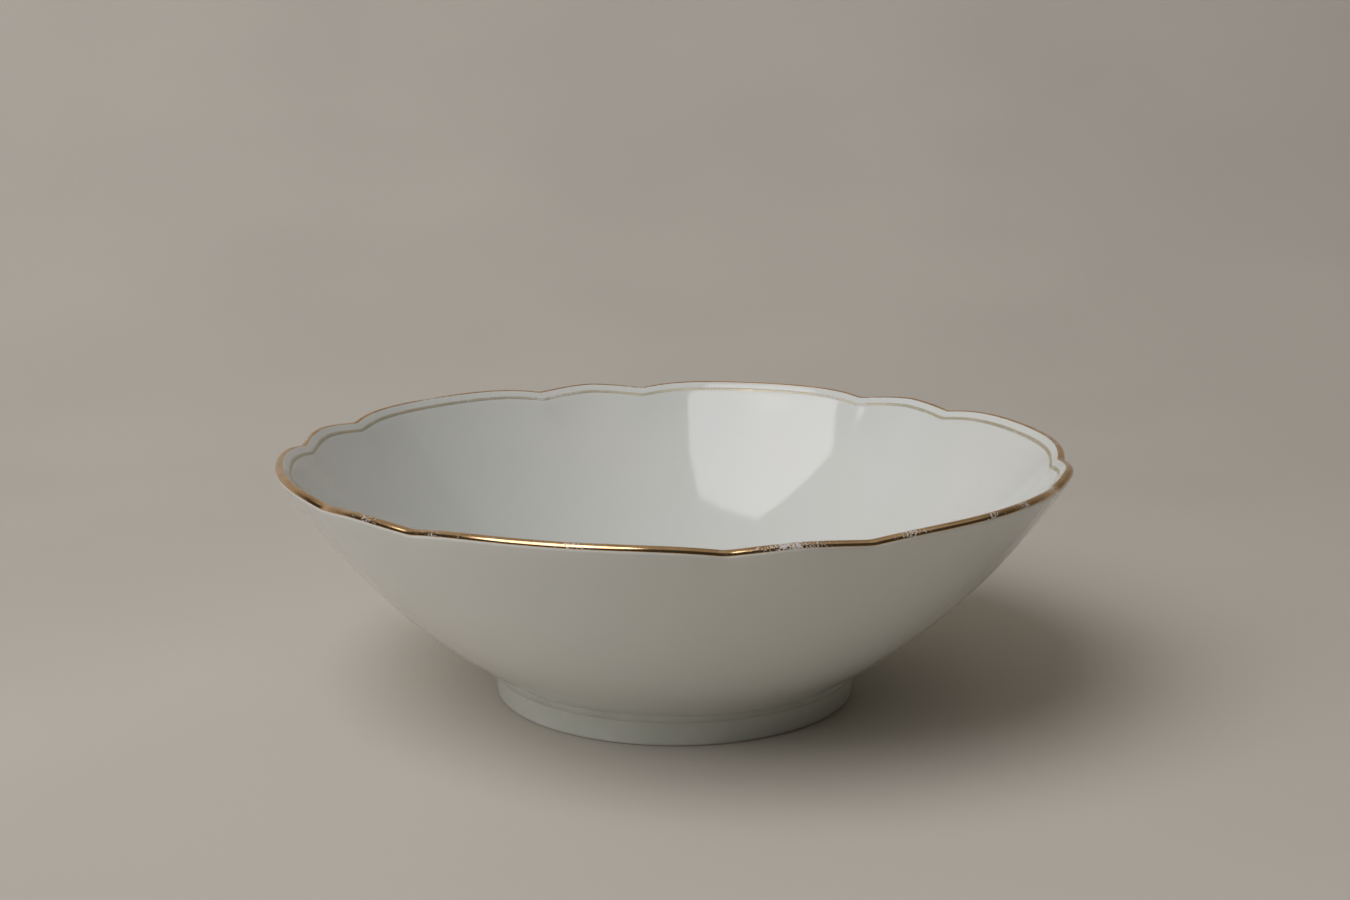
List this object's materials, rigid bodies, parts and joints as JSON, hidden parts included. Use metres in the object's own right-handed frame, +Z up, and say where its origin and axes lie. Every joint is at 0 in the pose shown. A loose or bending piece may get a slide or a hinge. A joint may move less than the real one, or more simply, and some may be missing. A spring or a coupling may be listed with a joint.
{
  "type": "porcelain serving bowl",
  "caption": "Flared porcelain serving bowl with a scalloped gilded lip, a fine gilt line inside it and a low luted foot ring.",
  "frame": {"origin": "centre of the foot ring's standing face, on the surface the bowl stands on", "axes": "+Z up along the bowl's axis, -Y towards the viewer, +X to the viewer's right"},
  "size_m": [0.239, 0.2392, 0.0762],
  "materials": {
    "glazed_porcelain": "clear gloss glaze over a cool white body",
    "glazed_foot": "gloss glaze, slightly greener where it pools, bare on the standing edge",
    "fired_slip": "fired slip under glaze",
    "burnished_gold": "burnished gilding, rubbed through in places",
    "painted_gold": "thin painted gilding, slightly uneven"
  },
  "bodies": {
    "root": {"porcelain_body": "glazed_porcelain", "slip_joint": "fired_slip", "foot_ring": "glazed_foot", "rim_gilding": "burnished_gold", "inner_gilt_line": "painted_gold"}
  },
  "joints": []
}
